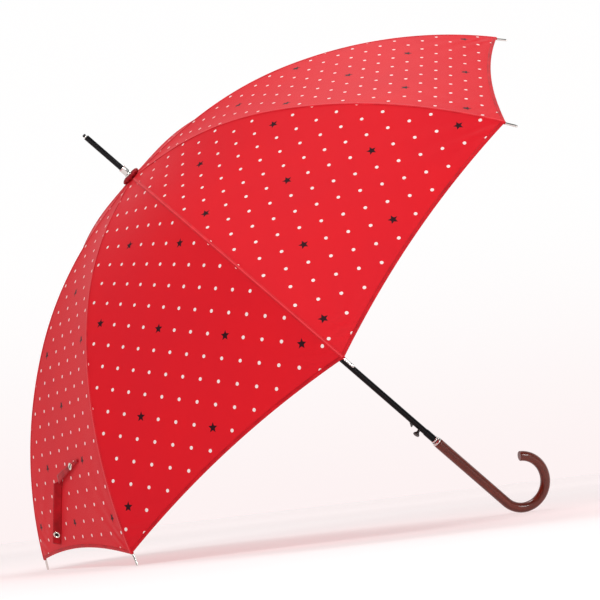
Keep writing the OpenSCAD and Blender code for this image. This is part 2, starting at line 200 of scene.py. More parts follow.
def cloth(k, s, across, lift=0.0):
    """Points of gore k's outer face, in the umbrella's axes: across is -1 on rib k and 1 on the next."""
    s, across = np.broadcast_arrays(np.asarray(s, float), np.asarray(across, float))
    p = skin(s, slack(s, across) + lift)
    azimuth = rib_azimuth(k) + HALF
    r, z = p[..., :1], p[..., 1:]
    return (
        r * math.cos(HALF) * spoke(azimuth)
        + across[..., None] * r * math.sin(HALF) * spoke(azimuth + math.pi / 2)
        + z * np.array([0, 0, 1])
    )


def cloth_normal(k, s, across):
    """The outer face's normals, by small steps along and across the gore."""
    step = 1e-5
    side_step = 1e-3
    s, across = np.broadcast_arrays(np.asarray(s, float), np.asarray(across, float))
    along = cloth(k, s + step, across) - cloth(k, s - step, across)
    side = cloth(k, s, across + side_step) - cloth(k, s, across - side_step)
    return unit(np.cross(along, side))


def over_rib(k, s, lift):
    """A point over a rib, or under it where lift is below zero."""
    r, z = skin(s, lift)
    return r * spoke(rib_azimuth(k)) + np.array([0, 0, z])


def rib_axes(k, slope):
    """A rib's directions where it has this slope: along it, out of the cloth, and to its side."""
    azimuth = rib_azimuth(k)
    r, z = outwards(slope)
    along = -z * spoke(azimuth) + np.array([0, 0, r])
    up = r * spoke(azimuth) + np.array([0, 0, z])
    return along, up, spoke(azimuth + math.pi / 2)


# ---- Meshes ----


def new_piece(name, points, faces, materials, normals=None, vectors=None):
    """A mesh piece from points in the umbrella's axes. vectors is {attribute name: a vector a point}."""
    mesh = bpy.data.meshes.new(name)
    mesh.from_pydata([tuple(p) for p in place(points)], [], faces)
    mesh.validate()
    for p in mesh.polygons:
        p.use_smooth = True
    for title, values in (vectors or {}).items():
        attribute = mesh.attributes.new(title, "FLOAT_VECTOR", "POINT")
        attribute.data.foreach_set("vector", np.asarray(values, np.float32).ravel())
    for material in materials:
        mesh.materials.append(material)
    if normals is not None:
        mesh.normals_split_custom_set_from_vertices([tuple(n) for n in turn(normals)])
    piece = bpy.data.objects.new(name, mesh)
    bpy.context.scene.collection.objects.link(piece)
    return piece


def grid_faces(rows, cols, closed=False, flip=False):
    """Faces of a grid of points, row by row. closed joins the last column to the first."""
    faces = []
    for i in range(rows - 1):
        for j in range(cols if closed else cols - 1):
            a, b = i * cols + j, i * cols + (j + 1) % cols
            face = (a, b, b + cols, a + cols)
            faces.append(face[::-1] if flip else face)
    return faces


def lathe(name, origin, axis, profile, materials, steps=48, ripple=None):
    """A turned piece: profile is (radius, distance along axis) from end to end. ripple moves the points
    as cloth does."""
    axis = unit(axis)
    side = unit(np.cross(axis, [0.3, 0.5, 0.81]))
    other = np.cross(axis, side)
    angle = np.arange(steps) * math.tau / steps
    ring = np.cos(angle)[:, None] * side + np.sin(angle)[:, None] * other
    points = []
    for i, (r, h) in enumerate(profile):
        radius = r + 0 * angle
        height = h + 0 * angle
        if ripple:
            radius, height = ripple(i, radius, height, angle)
        points.append(np.asarray(origin) + radius[:, None] * ring + height[:, None] * axis)
    faces = grid_faces(len(profile), steps, closed=True)
    return new_piece(name, np.concatenate(points), faces, materials)


def rounded(profile, radius, points=4):
    """A profile with its inner corners rounded: each becomes a short arc."""
    made = [profile[0]]
    for before, at, following in zip(profile, profile[1:], profile[2:]):
        before, at, following = (np.array(p, float) for p in (before, at, following))
        cut = min(radius, 0.45 * np.linalg.norm(at - before), 0.45 * np.linalg.norm(following - at))
        a = at + unit(before - at) * cut
        b = at + unit(following - at) * cut
        for t in np.linspace(0, 1, points):
            made.append(tuple((1 - t) ** 2 * a + 2 * t * (1 - t) * at + t**2 * b))
    made.append(profile[-1])
    return made


# ---- Materials ----


class Paint:
    """A material's node tree, with short calls for building it."""

    def __init__(self, name, colour, roughness, **sockets):
        self.material = bpy.data.materials.new(name)
        self.material.use_nodes = True
        self.tree = self.material.node_tree
        self.shader = self.tree.nodes["Principled BSDF"]
        self.output = self.tree.nodes["Material Output"]
        self.set("Base Color", colour)
        self.set("Roughness", roughness)
        for socket, value in sockets.items():
            self.set(socket.replace("_", " "), value)

    def set(self, socket, value):
        """Gives a socket of the shader a plain value, or links an output to it."""
        self.plug(self.shader.inputs[socket], value)

    def plug(self, socket, value):
        if isinstance(value, bpy.types.NodeSocket):
            self.tree.links.new(value, socket)
        elif isinstance(value, (tuple, list)) and socket.type == "RGBA":
            socket.default_value = (*value, 1)
        else:
            socket.default_value = value

    def node(self, kind, **settings):
        made = self.tree.nodes.new("ShaderNode" + kind)
        for key, value in settings.items():
            setattr(made, key, value)
        return made

    def math(self, operation, *values, clamp=False):
        made = self.node("Math", operation=operation, use_clamp=clamp)
        for socket, value in zip(made.inputs, values):
            self.plug(socket, value)
        return made.outputs[0]

    def length(self, x, y):
        squares = self.math("ADD", self.math("MULTIPLY", x, x), self.math("MULTIPLY", y, y))
        return self.math("POWER", squares, 0.5)

    def vector(self, name):
        """A named vector of the mesh, as its three parts."""
        parts = self.node("SeparateXYZ")
        self.plug(parts.inputs[0], self.node("Attribute", attribute_name=name).outputs["Vector"])
        return parts.outputs

    def joined(self, x, y, z=0.0):
        made = self.node("CombineXYZ")
        for socket, value in zip(made.inputs, (x, y, z)):
            self.plug(socket, value)
        return made.outputs[0]

    def noise(self, scale, detail=2.0, at=None, stretch=None, roughness=0.5):
        """Noise from 0 to 1 in the piece's own space, or at a vector."""
        made = self.node("TexNoise")
        made.inputs["Scale"].default_value = scale
        made.inputs["Detail"].default_value = detail
        made.inputs["Roughness"].default_value = roughness
        if at is None:
            at = self.node("TexCoord").outputs["Object"]
        if stretch:
            mapping = self.node("Mapping")
            mapping.inputs["Scale"].default_value = stretch
            self.plug(mapping.inputs[0], at)
            at = mapping.outputs[0]
        self.plug(made.inputs["Vector"], at)
        return made.outputs["Fac"]

    def ramp(self, value, low, high, start=0.0, end=1.0):
        """A number that goes from low to high as value goes from start to end."""
        made = self.node("MapRange")
        for socket, number in zip(made.inputs, (value, start, end, low, high)):
            self.plug(socket, number)
        return made.outputs[0]

    def mix(self, share, a, b):
        made = self.node("Mix", data_type="RGBA")
        self.plug(made.inputs["Factor"], share)
        self.plug(made.inputs[6], a)
        self.plug(made.inputs[7], b)
        return made.outputs[2]

    def bump(self, height, distance, strength=1.0):
        made = self.node("Bump")
        made.inputs["Strength"].default_value = strength
        made.inputs["Distance"].default_value = distance
        self.plug(made.inputs["Height"], height)
        self.set("Normal", made.outputs[0])


RED = (0.70, 0.008, 0.016)
DEEP_RED = (0.50, 0.004, 0.012)
DOT_WHITE = (0.86, 0.76, 0.74)
STAR_NAVY = (0.022, 0.003, 0.007)

# The print and the weave, in millimetres on the flat cloth.
DOT_PITCH = 18.9
DOT_R = 2.15
STAR_EVERY = 4
STAR_R = 6.4
STAR_IN = 2.9
CROWN_DOTS = -230.0
THREAD = 0.42
WEAVE_DEEP = 0.00008
STITCH_DEEP = 0.00016
STITCH_EDGE = (0.14, 0.3)
# The soft edges of the painted highlight along a seam's raised middle.
RIDGE_HIGHLIGHT_EDGE = (0.3, 1.1)


def nearest(paint, x, y, pitch):
    """How far a point is, in x and in y, from the nearest point of a diagonal lattice."""
    u = paint.math("MULTIPLY", paint.math("ADD", x, y), 0.5 / pitch)
    v = paint.math("MULTIPLY", paint.math("SUBTRACT", x, y), 0.5 / pitch)
    du = paint.math("SUBTRACT", u, paint.math("ROUND", u))
    dv = paint.math("SUBTRACT", v, paint.math("ROUND", v))
    dx = paint.math("MULTIPLY", paint.math("ADD", du, dv), pitch)
    dy = paint.math("MULTIPLY", paint.math("SUBTRACT", du, dv), pitch)
    return dx, dy


def inside(paint, distance, soft=0.16):
    """1 where a signed distance is below zero, 0 past it, with a soft edge."""
    return paint.ramp(distance, 1.0, 0.0, -soft, soft)


def printed(paint, ground):
    """The print: small round dots, and a five-pointed star in place of every fourth
    dot each way. No stars are printed near the crown."""
    x, y, _ = paint.vector("cloth_mm")
    dx, dy = nearest(paint, x, y, DOT_PITCH)
    from_dot = paint.length(dx, dy)
    sx, sy = nearest(paint, x, y, STAR_EVERY * DOT_PITCH)
    from_star = paint.length(sx, sy)
    point = paint.math("PINGPONG", paint.math("ADD", paint.math("ARCTAN2", sx, sy), math.tau), math.pi / 5)
    notch_side = STAR_IN * math.sin(math.pi / 5)
    notch_back = STAR_R - STAR_IN * math.cos(math.pi / 5)
    edge = paint.math(
        "ADD",
        paint.math("MULTIPLY", paint.math("COSINE", point), notch_side),
        paint.math("MULTIPLY", paint.math("SINE", point), notch_back),
    )
    edge_length = math.hypot(notch_side, notch_back)
    star = paint.math("SUBTRACT", paint.math("MULTIPLY", from_star, edge), STAR_R * notch_side)
    starred = paint.math("GREATER_THAN", y, CROWN_DOTS)
    star = paint.math("MULTIPLY", inside(paint, paint.math("DIVIDE", star, edge_length)), starred)
    dot = inside(paint, paint.math("SUBTRACT", from_dot, DOT_R))
    taken = paint.math("MULTIPLY", paint.math("LESS_THAN", from_star, DOT_PITCH / 2), starred)
    dot = paint.math("MULTIPLY", dot, paint.math("SUBTRACT", 1.0, taken))
    with_dots = paint.mix(dot, ground, DOT_WHITE)
    return paint.mix(star, with_dots, STAR_NAVY)


def woven(name, colour, shade, has_print=False, through=0.0, strength=0.25):
    """Plain-woven cloth. through is the share of light that it lets through."""
    paint = Paint(name, colour, 0.6, Sheen_Weight=0.16, Sheen_Roughness=0.3, Specular_IOR_Level=0.14)
    paint.set("Sheen Tint", (1.0, 0.55, 0.58))
    x, y, _ = paint.vector("cloth_mm")
    drift = paint.noise(9.0, 3.0)
    ground = paint.mix(paint.ramp(drift, 0.0, 1.0, 0.3, 0.7), shade, colour)
    slub_at = paint.joined(paint.math("MULTIPLY", x, 0.9), paint.math("MULTIPLY", y, 0.07))
    slub = paint.noise(1.0, 1.0, at=slub_at)
    ground = paint.mix(paint.ramp(slub, 0.0, 0.12, 0.35, 0.75), ground, shade)
    if has_print:
        ground = printed(paint, ground)
    paint.set("Base Color", ground)
    warp = paint.math("ABSOLUTE", paint.math("SINE", paint.math("MULTIPLY", x, math.pi / THREAD)))
    weft = paint.math("ABSOLUTE", paint.math("SINE", paint.math("MULTIPLY", y, math.pi / THREAD)))
    column = paint.math("FLOOR", paint.math("DIVIDE", x, THREAD))
    row = paint.math("FLOOR", paint.math("DIVIDE", y, THREAD))
    over = paint.math("MODULO", paint.math("ADD", column, row), 2.0)
    over = paint.math("ABSOLUTE", over)
    weave = paint.mix(over, paint.joined(warp, warp, warp), paint.joined(weft, weft, weft))
    paint.bump(weave, WEAVE_DEEP, strength)
    if through:
        glow = paint.node("BsdfTranslucent")
        paint.plug(glow.inputs["Color"], ground)
        both = paint.node("MixShader")
        both.inputs[0].default_value = through
        paint.tree.links.new(paint.shader.outputs[0], both.inputs[1])
        paint.tree.links.new(glow.outputs[0], both.inputs[2])
        paint.tree.links.new(both.outputs[0], paint.output.inputs["Surface"])
    return paint.material


def stitched(name, colour, shade, thread, lines, spacing, length=0.62, ridge=None):
    """A sewn band of cloth. Its stitches run along y at the distances from its middle that lines gives, and
    painted shade darkens its sunk stitch lines. The colour ridge is a painted highlight along its raised middle."""
    paint = Paint(name, colour, 0.66, Sheen_Weight=0.12, Sheen_Roughness=0.3, Specular_IOR_Level=0.14)
    x, y, _ = paint.vector("band_mm")
    puckers = paint.math("SINE", paint.math("MULTIPLY", y, math.tau / spacing))
    drift = paint.noise(60.0, 3.0)
    ground = paint.mix(paint.ramp(drift, 0.0, 1.0, 0.3, 0.7), shade, colour)
    along = paint.math("PINGPONG", paint.math("ADD", y, 1000.0), spacing / 2)
    on = paint.ramp(along, 1.0, 0.0, length * spacing / 2 - 0.1, length * spacing / 2 + 0.1)
    stitch = None
    for line in lines:
        off = paint.math("ABSOLUTE", paint.math("SUBTRACT", paint.math("ABSOLUTE", x), line))
        here = paint.ramp(off, 1.0, 0.0, *STITCH_EDGE)
        stitch = here if stitch is None else paint.math("MAXIMUM", stitch, here)
    # Painted highlight: the band's raised middle is lightened towards the ridge colour.
    if ridge:
        top = paint.ramp(paint.math("ABSOLUTE", x), 1.0, 0.0, *RIDGE_HIGHLIGHT_EDGE)
        ground = paint.mix(paint.math("MULTIPLY", top, 0.8), ground, ridge)
    seam = stitch
    stitch = paint.math("MULTIPLY", stitch, on)
    # Painted shade: the sunk stitch lines are darkened towards shade along their whole length.
    ground = paint.mix(paint.math("MULTIPLY", seam, 0.55), ground, shade)
    paint.set("Base Color", paint.mix(stitch, ground, thread))
    weave = paint.math("SINE", paint.math("MULTIPLY", paint.math("ADD", x, y), math.pi / THREAD))
    height = paint.math("ADD", paint.math("MULTIPLY", seam, -1.0), paint.math("MULTIPLY", stitch, 1.6))
    height = paint.math("ADD", height, paint.math("MULTIPLY", paint.math("ADD", puckers, weave), 0.12))
    paint.bump(height, STITCH_DEEP, 0.6)
    return paint.material


def painted_steel(name, colour, roughness, coat=0.3, wear=0.5, specular=0.5):
    """Sprayed or dipped steel: fine orange peel, a little haze, and scuffs along the length."""
    paint = Paint(name, colour, roughness, Coat_Weight=coat, Coat_Roughness=0.16, Specular_IOR_Level=specular)
    scuffs = paint.noise(900.0, 2.0)
    haze = paint.noise(40.0, 3.0)
    paint.set("Roughness", paint.ramp(haze, roughness * 0.8, roughness * 1.3, 0.3, 0.7))
    worn = paint.math("MULTIPLY", paint.ramp(scuffs, 0.0, 1.0, 0.62, 0.8), wear)
    light = tuple(min(1.0, c * 2.5 + 0.004) for c in colour)
    paint.set("Base Color", paint.mix(worn, colour, light))
    paint.bump(paint.noise(1500.0, 2.0), 0.00002, 0.12)
    return paint.material


def plated(name, colour, roughness):
    """Nickel plate: bright, with polishing marks and faint smudges."""
    paint = Paint(name, colour, roughness, Metallic=1.0)
    smudge = paint.noise(120.0, 3.0)
    paint.set("Roughness", paint.ramp(smudge, roughness * 0.7, roughness * 1.8, 0.3, 0.75))
    tarnish = tuple(c * 0.82 for c in colour)
    paint.set("Base Color", paint.mix(paint.ramp(smudge, 0.0, 0.6, 0.45, 0.8), colour, tarnish))
    paint.bump(paint.noise(2200.0, 1.0), 0.00002, 0.12)
    return paint.material


def moulded(name, colour, roughness, grain=0.3):
    """Moulded plastic: a fine spark-eroded grain and slight sheen changes."""
    paint = Paint(name, colour, roughness, Specular_IOR_Level=0.5)
    flow = paint.noise(70.0, 2.0)
    paint.set("Roughness", paint.ramp(flow, roughness - 0.07, roughness + 0.09, 0.3, 0.7))
    light = tuple(c * 1.8 + 0.004 for c in colour)
    paint.set("Base Color", paint.mix(paint.ramp(flow, 0.0, 0.5, 0.4, 0.8), colour, light))
    paint.bump(paint.noise(1800.0, 2.0), 0.00004, grain)
    return paint.material


WOOD_BROWN = (0.16, 0.04, 0.02)
WOOD_DARK = (0.070, 0.009, 0.004)
WOOD_LIGHT = (0.20, 0.034, 0.016)
WOOD_PORE = (0.03, 0.006, 0.004)


def lacquered_wood(name):
    """Stained and lacquered wood with its grain along the handle, darker in streaks."""
    paint = Paint(name, WOOD_BROWN, 0.32, Coat_Weight=0.5, Coat_Roughness=0.05, Specular_IOR_Level=0.25)
    along, around, _ = paint.vector("grain_mm")
    at = paint.joined(paint.math("MULTIPLY", along, 0.011), paint.math("MULTIPLY", around, 0.16))
    broad = paint.noise(1.0, 4.0, at=at, roughness=0.6)
    fine_at = paint.joined(paint.math("MULTIPLY", along, 0.09), paint.math("MULTIPLY", around, 1.9))
    fine = paint.noise(1.0, 3.0, at=fine_at, roughness=0.7)
    tone = paint.math("ADD", paint.math("MULTIPLY", broad, 0.62), paint.math("MULTIPLY", fine, 0.38))
    colour = paint.mix(paint.ramp(tone, 0.0, 1.0, 0.36, 0.62), WOOD_DARK, WOOD_LIGHT)
    pores = paint.ramp(fine, 1.0, 0.0, 0.26, 0.36)
    paint.set("Base Color", paint.mix(paint.math("MULTIPLY", pores, 0.6), colour, WOOD_PORE))
    paint.bump(fine, 0.00005, 0.35)
    return paint.material


CANOPY = woven("canopy cloth", RED, (0.66, 0.008, 0.018), has_print=True, through=0.16)
HEM = stitched("hem cloth", (0.62, 0.006, 0.014), (0.40, 0.003, 0.009), thread=(0.68, 0.02, 0.03),
               lines=[0.6], spacing=2.4)
# The seam's ridge colour is a painted highlight along its raised middle.
SEAM = stitched("seam cloth", (0.68, 0.010, 0.018), (0.44, 0.004, 0.010), thread=(0.72, 0.03, 0.04),
                lines=[1.5], spacing=2.4, ridge=(0.80, 0.055, 0.07))
LINING = woven("lining cloth", RED, DEEP_RED)
ROSETTE = woven("rosette cloth", (0.34, 0.004, 0.012), (0.20, 0.002, 0.006), strength=0.5)
STRAP = stitched("strap cloth", (0.47, 0.003, 0.010), (0.27, 0.002, 0.006), thread=(0.62, 0.02, 0.035),
                 lines=[4.6], spacing=2.4)
BLACK_STEEL = painted_steel("black steel", (0.002, 0.002, 0.003), 0.13, coat=0.0, wear=0.05,
                            specular=0.2)
RIB_STEEL = painted_steel("rib steel", (0.045, 0.046, 0.05), 0.36, coat=0.2)
SPRING = plated("spring wire", (0.56, 0.57, 0.59), 0.26)
NICKEL = plated("nickel plate", (0.74, 0.73, 0.70), 0.13)
SNAP_METAL = plated("snap metal", (0.80, 0.77, 0.68), 0.2)
BLACK_PLASTIC = moulded("black plastic", (0.012, 0.012, 0.013), 0.46)
BUTTON_PLASTIC = moulded("button plastic", (0.014, 0.009, 0.008), 0.34, grain=0.15)
WOOD = lacquered_wood("lacquered wood")

# ---- Camera, at the photographed viewing angle ----

CAMERA_AT = Vector((-0.985, -2.032, 0.050))
CAMERA_AIM = Vector((0.0007, -0.0002, 0.3288))
CAMERA_ROLL = math.radians(6.68)
LENS_MM = 98.25
SENSOR_MM = 36
CLIP = (0.05, 60)


def add_camera():
    data = bpy.data.cameras.new("camera")
    data.lens = LENS_MM
    data.sensor_width = SENSOR_MM
    data.clip_start, data.clip_end = CLIP
    camera = bpy.data.objects.new("camera", data)
    bpy.context.scene.collection.objects.link(camera)
    camera.rotation_mode = "QUATERNION"
    camera.location = CAMERA_AT
    level = (CAMERA_AIM - CAMERA_AT).to_track_quat("-Z", "Y")
    camera.rotation_quaternion = level @ Quaternion((0, 0, 1), -CAMERA_ROLL)
    bpy.context.scene.camera = camera


add_camera()

# ---- Canopy cloth ----

# Each gore is cut lengthwise in its middle, so that a half rides on each of its ribs, and across at the
# bend. Above the bend, where the halves are narrower near the crown, it is cut again into bands along the rib.
# A band is its name, its start and end along the rib, its rows, and the share of its width that it keeps.
OUTER_KEEP = 0.18
BANDS = [
    ("crown", 0.0, 0.028, 4, 0.80),
    ("upper", 0.028, 0.06, 4, 0.53),
    ("inner", 0.06, 0.11, 7, 0.38),
    ("middle", 0.11, 0.18, 8, 0.28),
    ("bend", 0.18, INNER_ARC, 8, 0.215),
    ("outer", INNER_ARC, None, 34, OUTER_KEEP),
]
COLUMNS = 16
LENGTH_STEPS = 1200


def centre_lengths():
    """A table of length down the middle of a gore against length along a rib."""
    s = np.linspace(0, RIB_ARC, LENGTH_STEPS)
    slope = slope_at(s)
    rate = np.sqrt((math.cos(HALF) * np.cos(slope)) ** 2 + np.sin(slope) ** 2)
    steps = (rate[1:] + rate[:-1]) / 2 * np.diff(s)
    return s, np.concatenate([[0], np.cumsum(steps)])


LENGTHS = centre_lengths()
STAR_AT = 0.3455


def printed_mm(s, across):
    """Where a point of a gore lies on its flat cloth, in millimetres, from a star in its middle."""
    y = np.interp(s, *LENGTHS) - np.interp(STAR_AT, *LENGTHS)
    x = across * skin(s)[..., 0] * math.sin(HALF)
    return np.stack([1000 * x, 1000 * y, 0 * x], axis=-1)


def fold_with(piece):
    """Gives a piece a mesh of its own."""
    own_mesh(piece)


def rib_of(k, side):
    return k if side < 0 else after(k)


def half_name(kind, k, side):
    return f"{kind}_{k}{'a' if side < 0 else 'b'}"


def cloth_piece(k, side, band, start, end, rows):
    """One sheet: half the gore's width, between two lengths along the rib."""
    across = np.linspace(side, 0, COLUMNS + 1)[None, :] + np.zeros((rows + 1, 1))
    down = np.linspace(0, 1, rows + 1)[:, None]
    last = gore_length(across) if end is None else end
    s = start + down * (last - start) + 0 * across
    points = cloth(k, s, across).reshape(-1, 3)
    normals = cloth_normal(k, s, across).reshape(-1, 3)
    rib = rib_of(k, side)
    name = half_name(f"cloth_{band}", k, side)
    faces = grid_faces(rows + 1, COLUMNS + 1, flip=side < 0)
    piece = new_piece(name, points, faces, [CANOPY], normals,
                      vectors={"cloth_mm": printed_mm(s, across).reshape(-1, 3)})
    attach(piece, f"rib_outer_{rib}" if band == "outer" else f"rib_{rib}")
    fold_with(piece)
    if band == "outer":
        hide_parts(f"canopy_panel_{k}")
    return piece, s, across


HEM_W = 0.0048
HEM_RISE = 0.0003
HEM_PAST_EDGE = 0.0003
HEM_STITCHES_MM = 3.9
HEM_SECTION = [(1.0, 0.0), (0.98, 1.0), (0.5, 1.15), (0.08, 1.0), (0.0, 0.35), (0.0, -0.35), (0.08, -1.0),
               (0.5, -1.15), (0.98, -1.0), (1.0, -0.2)]


def hem_piece(k, side):
    """The turned and stitched hem along half a gore: a flat loop of cloth round the edge."""
    across = np.linspace(side, 0, 2 * COLUMNS + 1)
    points, band = [], []
    for a in across:
        edge = gore_length(a)
        for back, rise in HEM_SECTION:
            s = edge + HEM_PAST_EDGE - back * HEM_W
            points.append(cloth(k, s, a, rise * HEM_RISE - FABRIC_T / 2 * (rise < 0)))
            x = 1000 * a * skin(edge)[0] * math.sin(HALF)
            band.append((1000 * (HEM_W - back * HEM_W) - HEM_STITCHES_MM, x, 0))
    faces = grid_faces(len(across), len(HEM_SECTION), closed=True, flip=side > 0)
    name = half_name("hem", k, side)
    piece = new_piece(name, np.array(points), faces, [HEM], vectors={"band_mm": band})
    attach(piece, f"rib_outer_{rib_of(k, side)}")
    fold_with(piece)
    return piece


def canopy():
    """The cloth of the 8 gores, band by band, with the hem on the outer band."""
    for k in range(1, RIBS + 1):
        for side in (-1, 1):
            for band, start, end, rows, keep in BANDS:
                piece, s, across = cloth_piece(k, side, band, start, end, rows)
                more = [hem_piece(k, side)] if band == "outer" else []


canopy()

SEAM_HALF = 0.0024
SEAM_SECTION = [(-1.0, -0.1), (-0.85, 0.55), (-0.45, 0.8), (-0.15, 1.1), (0.15, 1.1), (0.45, 0.8),
                (0.85, 0.55), (1.0, -0.1)]
SEAM_RISE = 0.0005


def seam_piece(k, name, body, start, end, rows):
    """The sewn seam over a rib: a low ridge that lies on both gores."""
    azimuth = rib_azimuth(k)
    radial, side = spoke(azimuth), spoke(azimuth + math.pi / 2)
    points, band = [], []
    for s in np.linspace(start, end, rows):
        for w, rise in SEAM_SECTION:
            r, z = skin(s, rise * SEAM_RISE + float(slack(s, 1.0)))
            off = w * SEAM_HALF
            p = (r - abs(off) * math.sin(HALF)) * radial + off * math.cos(HALF) * side
            points.append(p + np.array([0, 0, z]))
            band.append((1000 * off, 1000 * s, 0))
    piece = new_piece(name, np.array(points), grid_faces(rows, len(SEAM_SECTION), flip=True), [SEAM],
                      vectors={"band_mm": band})
    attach(piece, body)


POCKET_LEN = 0.0085
POCKET_LIFT = -0.0022
POCKET_BACK = 0.92
POCKET_WIDE = (0.0036, 0.0017)
POCKET_TALL = (0.0018, 0.0016)
POCKET_RIPPLE = 0.05
POCKET_ROWS = 9
POCKET_STEPS = 20


def between(t, ends):
    return (1 - t) * ends[0] + t * ends[1]


def corner_pocket(k):
    """The little cloth pocket at a corner of the hem that takes the rib's tip."""
    origin = over_rib(k, RIB_ARC, POCKET_LIFT)
    axis, up, side = rib_axes(k, HEM_SLOPE)
    points, band = [], []
    for i in range(POCKET_ROWS):
        t = i / (POCKET_ROWS - 1)
        wide = between(t, POCKET_WIDE)
        tall = between(t, POCKET_TALL)
        for j in range(POCKET_STEPS):
            q = math.tau * j / POCKET_STEPS
            ripple = 1 + POCKET_RIPPLE * math.sin(3 * q + 9 * t)
            points.append(origin + axis * (t - POCKET_BACK) * POCKET_LEN
                          + side * wide * math.cos(q) * ripple + up * tall * math.sin(q) * ripple)
            band.append((1000 * wide * math.cos(q), 1000 * t * POCKET_LEN, 0))
    faces = grid_faces(POCKET_ROWS, POCKET_STEPS, closed=True, flip=True)
    piece = new_piece(f"corner_pocket_{k}", np.array(points), faces, [HEM], vectors={"band_mm": band})
    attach(piece, f"rib_outer_{k}")


TIE_AT = (0.135, 0.395)
RIB_DEEP = 0.0025
TIE_TURNS = 4
TIE_STEPS = 28
TIE_PITCH = 0.0005
TIE_WIDE = 0.00172
TIE_TALL = 0.0017
TIE_RISE = 0.0002
TIE_BOXY = 0.7
THREAD_R = 0.00022
THREAD_SIDES = 6


def tie_path(origin, along, up, side):
    """The line of a tie's thread: turns round a rib, nearly square as the rib is."""
    path = []
    for i in range(TIE_TURNS * TIE_STEPS + 1):
        q = math.tau * i / TIE_STEPS
        box = 1 / max(abs(math.cos(q)), abs(math.sin(q))) ** TIE_BOXY
        path.append(origin + along * (i / TIE_STEPS - TIE_TURNS / 2) * TIE_PITCH
                    + side * TIE_WIDE * math.cos(q) * box
                    + up * (TIE_TALL * math.sin(q) * box + TIE_RISE))
    return np.array(path)


def rib_tie(k, s, body, name):
    """A few turns of red thread that tie the seam to the rib under it."""
    along, up, side = rib_axes(k, float(slope_at(s)))
    path = tie_path(over_rib(k, s, -RIB_DEEP), along, up, side)
    ahead = unit(np.gradient(path, axis=0))
    across = unit(np.cross(ahead, along))
    third = np.cross(ahead, across)
    q = np.arange(THREAD_SIDES) * math.tau / THREAD_SIDES
    ring = np.cos(q)[None, :, None] * across[:, None, :] + np.sin(q)[None, :, None] * third[:, None, :]
    points = (path[:, None, :] + THREAD_R * ring).reshape(-1, 3)
    faces = grid_faces(len(path), THREAD_SIDES, closed=True)
    piece = new_piece(name, points, faces, [SEAM], vectors={"band_mm": np.zeros((len(points), 3))})
    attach(piece, body)


SEAM_START = 0.004
SEAM_END = RIB_ARC - 0.001


def seams():
    """The sewing over each rib, with its corner pocket and its ties."""
    for k in range(1, RIBS + 1):
        seam_piece(k, f"seam_inner_{k}", f"rib_{k}", SEAM_START, INNER_ARC, rows=40)
        seam_piece(k, f"seam_outer_{k}", f"rib_outer_{k}", INNER_ARC, SEAM_END, rows=46)
        corner_pocket(k)
        rib_tie(k, TIE_AT[0], f"rib_{k}", f"rib_tie_inner_{k}")
        rib_tie(k, TIE_AT[1], f"rib_outer_{k}", f"rib_tie_outer_{k}")


seams()

# ---- Crown: rosette, collar and spike ----

ORIGIN = np.zeros(3)
SHAFT = np.array([0.0, 0.0, 1.0])
FRILLS = 13
FRILL = 0.045
FRILL_RISE = 0.0005
FRILL_ROWS = 6
GATHER_STEPS = 156
ROSETTE_PROFILE = [(0.0045, 0.0014), (0.0049, 0.0004), (0.0058, 0.0001), (0.0078, 0.0003), (0.0100, 0.0004),
                   (0.0118, 0.0007), (0.0130, 0.0016), (0.0133, 0.0028), (0.0128, 0.0041), (0.0116, 0.0053),
                   (0.0098, 0.0062), (0.0070, 0.0066)]
LINING_PROFILE = [(0.0100, 0.0064), (0.0118, 0.0072), (0.0134, 0.0090), (0.0146, 0.0112), (0.0152, 0.0138),
                  (0.0152, 0.0168), (0.0146, 0.0196)]
COLLAR_PROFILE = [(0.0044, -0.0133), (0.0049, -0.0134), (0.0052, -0.0128), (0.0049, -0.0122),
                  (0.0049, -0.0030), (0.0053, -0.0026), (0.0058, -0.0018), (0.0058, -0.0004),
                  (0.0054, 0.0004), (0.0045, 0.0006)]


def frilled(i, radius, height, angle):
    """Gathers that deepen along a profile, over its first few rows."""
    deep = min(1.0, i / FRILL_ROWS)
    wave = np.cos(FRILLS * angle) + 0.35 * np.cos(2 * FRILLS * angle + 1.0) + 0.3 * np.sin(5 * angle)
    return radius * (1 + FRILL * deep * wave), height + FRILL_RISE * deep * wave


def gathered(name, profile, material):
    """A ring of gathered cloth round the shaft, with its millimetres of flat cloth for the weave."""
    piece = lathe(name, ORIGIN, SHAFT, profile, [material], steps=GATHER_STEPS, ripple=frilled)
    attribute = piece.data.attributes.new("cloth_mm", "FLOAT_VECTOR", "POINT")
    for i, (r, h) in enumerate(profile):
        for j in range(GATHER_STEPS):
            around = r * 1000 * math.tau * j / GATHER_STEPS
            attribute.data[i * GATHER_STEPS + j].vector = (around, (r + h) * 1000, 0)
    return piece


def rosette():
    piece = gathered("rosette", ROSETTE_PROFILE, ROSETTE)
    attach(piece, "root")
    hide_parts("crown_rosette")


def lining():
    """Stands in for the crown ends of the gores, so that no gap opens there when the canopy shuts."""
    piece = gathered("crown_lining", LINING_PROFILE, LINING)
    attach(piece, "root")


def collar():
    piece = lathe("crown_collar", ORIGIN, SHAFT, rounded(COLLAR_PROFILE, 0.0002), [NICKEL])
    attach(piece, "root")
    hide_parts("ferrule_collar")


SPIKE_END = -0.0804


def spike_ring():
    """The small bright ring near the spike's end."""
    end = SPIKE_END
    ring = rounded([(0.0, end + 0.0028), (0.0023, end + 0.0028), (0.0026, end + 0.0034),
                    (0.0026, end + 0.0044), (0.0023, end + 0.0051), (0.0, end + 0.0051)], 0.0002)
    piece = lathe("spike_ring", ORIGIN, SHAFT, ring, [NICKEL], steps=36)
    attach(piece, "root")
    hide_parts("spike_tip")


